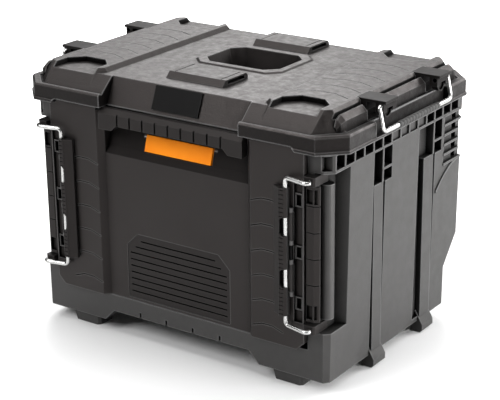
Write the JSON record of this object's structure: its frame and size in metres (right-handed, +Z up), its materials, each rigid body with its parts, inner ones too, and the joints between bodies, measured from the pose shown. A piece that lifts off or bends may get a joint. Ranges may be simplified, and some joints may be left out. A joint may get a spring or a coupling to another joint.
{
  "type": "toolbox with drawer",
  "caption": "Stacking charcoal toolbox with a front pull-out drawer, side draw latches, wire side handles, a sunk lid well and raised stacking lands.",
  "frame": {"origin": "centre of the overall footprint at floor level", "axes": "+X to the right side seen from the front, +Y to the back, +Z up; the drawer opens along -Y"},
  "size_m": [0.5856, 0.4079, 0.4135],
  "materials": {
    "charcoal_plastic": "moulded charcoal plastic, lightly grained",
    "dark_plastic": "moulded near-black plastic",
    "zinc_wire": "bright zinc-plated wire",
    "steel_pin": "plain steel",
    "dark_steel": "blackened steel",
    "orange_plastic": "bright orange plastic",
    "plate_gloss": "bare black plate"
  },
  "bodies": {
    "body": {"body_shell": "charcoal_plastic", "top_cover": "charcoal_plastic", "name_plate": "plate_gloss", "front_cleat": "charcoal_plastic", "rear_cleat": "charcoal_plastic", "handle_bracket_front_r": "dark_plastic", "handle_bracket_rear_r": "dark_plastic", "corner_post_r": "dark_plastic", "keeper_upper_r": "dark_plastic", "keeper_lower_r": "dark_plastic", "drawer_rail_r": "dark_plastic", "handle_bracket_front_l": "dark_plastic", "handle_bracket_rear_l": "dark_plastic", "corner_post_l": "dark_plastic", "keeper_upper_l": "dark_plastic", "keeper_lower_l": "dark_plastic", "drawer_rail_l": "dark_plastic"},
    "drawer": {"drawer_front": "charcoal_plastic", "drawer_bin": "dark_plastic", "grip_bar": "dark_plastic", "tread_pad": "dark_plastic", "paddle_pin": "steel_pin", "drawer_runner_r": "steel_pin", "latch_pin_r": "dark_steel", "drawer_runner_l": "steel_pin", "latch_pin_l": "dark_steel"},
    "paddle": {"release_paddle": "orange_plastic"},
    "lever_r": {"latch_lever_r": "dark_plastic"},
    "bail_r": {"latch_wire_r": "zinc_wire"},
    "handle_r": {"handle_wire_r": "zinc_wire", "handle_grip_r": "dark_plastic"},
    "lever_l": {"latch_lever_l": "dark_plastic"},
    "bail_l": {"latch_wire_l": "zinc_wire"},
    "handle_l": {"handle_wire_l": "zinc_wire", "handle_grip_l": "dark_plastic"}
  },
  "joints": [
    {"name": "drawer_slide", "type": "slide", "parent": "body", "child": "drawer", "axis": [0, -1, 0], "range_m": [0, 0.23]},
    {"name": "paddle_press", "type": "hinge", "parent": "drawer", "child": "paddle", "pos_m": [0, -0.16092, 0.32265], "axis": [1, 0, 0], "range_deg": [0, 10], "stiffness_Nm_per_rad": 0.05, "springref_deg": -17.19},
    {"name": "latch_swing_r", "type": "hinge", "parent": "drawer", "child": "lever_r", "pos_m": [0.2064, -0.18935, 0.21105], "axis": [0, 0, 1], "range_deg": [0, 110]},
    {"name": "bail_turn_r", "type": "hinge", "parent": "lever_r", "child": "bail_r", "pos_m": [0.1994, -0.19285, 0.21105], "axis": [0, 0, 1], "range_deg": [-110, 0]},
    {"name": "handle_swing_r", "type": "hinge", "parent": "body", "child": "handle_r", "pos_m": [0.2805, 0.01215, 0.4032], "axis": [0, -1, 0], "range_deg": [0, 105]},
    {"name": "latch_swing_l", "type": "hinge", "parent": "drawer", "child": "lever_l", "pos_m": [-0.2064, -0.18935, 0.21105], "axis": [0, 0, -1], "range_deg": [0, 110]},
    {"name": "bail_turn_l", "type": "hinge", "parent": "lever_l", "child": "bail_l", "pos_m": [-0.1994, -0.19285, 0.21105], "axis": [0, 0, -1], "range_deg": [-110, 0]},
    {"name": "handle_swing_l", "type": "hinge", "parent": "body", "child": "handle_l", "pos_m": [-0.2805, 0.01215, 0.4032], "axis": [0, 1, 0], "range_deg": [0, 105]}
  ],
  "couplings": [
    {"joint": "bail_turn_r", "follows": "latch_swing_r", "ratio": -1},
    {"joint": "bail_turn_l", "follows": "latch_swing_l", "ratio": -1}
  ]
}
